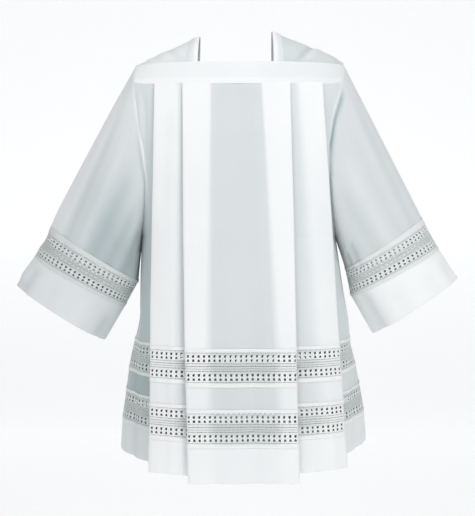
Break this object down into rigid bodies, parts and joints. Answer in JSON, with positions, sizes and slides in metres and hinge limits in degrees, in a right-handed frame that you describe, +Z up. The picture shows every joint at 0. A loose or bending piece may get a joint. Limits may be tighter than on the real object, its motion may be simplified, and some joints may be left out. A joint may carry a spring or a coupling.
{
  "type": "pleated surplice",
  "caption": "White pleated surplice with a square neck, wide sleeves and lace insertions round the skirt and sleeves, in the hollow form it takes when worn.",
  "frame": {"origin": "midway between the two neck points of the shoulders, where the wearer carries the garment", "axes": "+X to the viewer's right seen from the front, -Y out of the front, +Z up"},
  "size_m": [0.878, 0.3532, 0.8746],
  "materials": {
    "sheer_cloth": "light plain-woven cloth, one layer, soft matt with a faint sheen",
    "double_cloth": "the same cloth in two or more layers, whiter and denser",
    "lace": "white cotton insertion lace with rows of square holes between woven edges"
  },
  "bodies": {
    "root": {"front_panel": "sheer_cloth", "back_panel": "sheer_cloth", "shoulder_left": "sheer_cloth", "shoulder_right": "sheer_cloth", "sleeve_left": "sheer_cloth", "sleeve_right": "sheer_cloth", "yoke_front_band": "double_cloth", "yoke_back_band": "double_cloth", "front_strip": "double_cloth", "back_strip": "double_cloth", "front_hem": "double_cloth", "back_hem": "double_cloth", "cuff_left": "double_cloth", "cuff_right": "double_cloth", "neck_hem_left": "double_cloth", "neck_hem_right": "double_cloth", "front_lace_upper": "lace", "front_lace_lower": "lace", "back_lace_upper": "lace", "back_lace_lower": "lace", "sleeve_left_lace_front": "lace", "sleeve_left_lace_back": "lace", "sleeve_right_lace_front": "lace", "sleeve_right_lace_back": "lace"}
  },
  "joints": []
}
